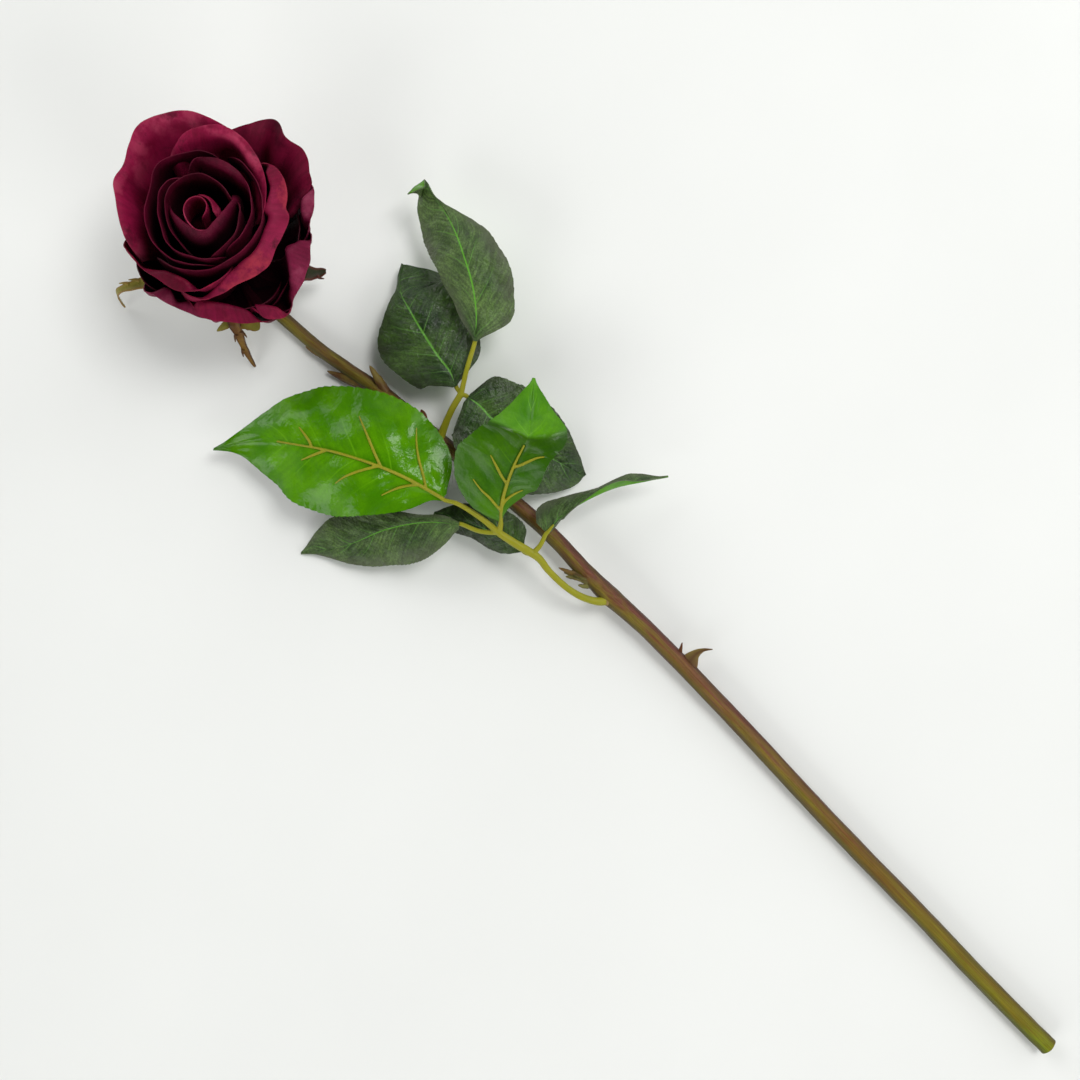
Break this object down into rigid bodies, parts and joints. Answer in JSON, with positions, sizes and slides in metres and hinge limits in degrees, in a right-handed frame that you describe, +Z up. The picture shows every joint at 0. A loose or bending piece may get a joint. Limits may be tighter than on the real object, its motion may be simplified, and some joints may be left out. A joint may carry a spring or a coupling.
{
  "type": "artificial rose stem",
  "caption": "Long-stemmed burgundy rose lying on its side: full layered bloom on a bent neck, leafy sprays, thorns and bracts on a smooth moulded stem.",
  "frame": {"origin": "on the surface it lies on, under the middle of the whole outline", "axes": "+X along the stem from the cut end to the bloom, +Y to the side of the lower spray's large leaflet, +Z up from the surface"},
  "size_m": [0.4919, 0.142, 0.0719],
  "materials": {
    "petal": "coated cloth, deep burgundy, satin, with bruised darker lips",
    "stem": "moulded, olive green shaded with reddish brown, satin",
    "calyx": "moulded, olive green with brown edges",
    "stalk": "moulded, yellow green",
    "leaf_face": "coated cloth, deep grey green, satin, veined",
    "leaf_underside": "coated cloth, bright green, glossy"
  },
  "bodies": {
    "root": {"stem": "stem", "calyx": "calyx", "bloom": "petal", "lower_petiole": "stalk", "upper_petiole": "stalk", "leaflet_d": "leaf_underside", "leaflet_e": "leaf_underside", "leaflet_f": "leaf_face", "leaflet_g": "leaf_face", "leaflet_h": "leaf_face", "leaflet_a": "leaf_face", "leaflet_b": "leaf_face", "leaflet_c": "leaf_face"}
  },
  "joints": []
}
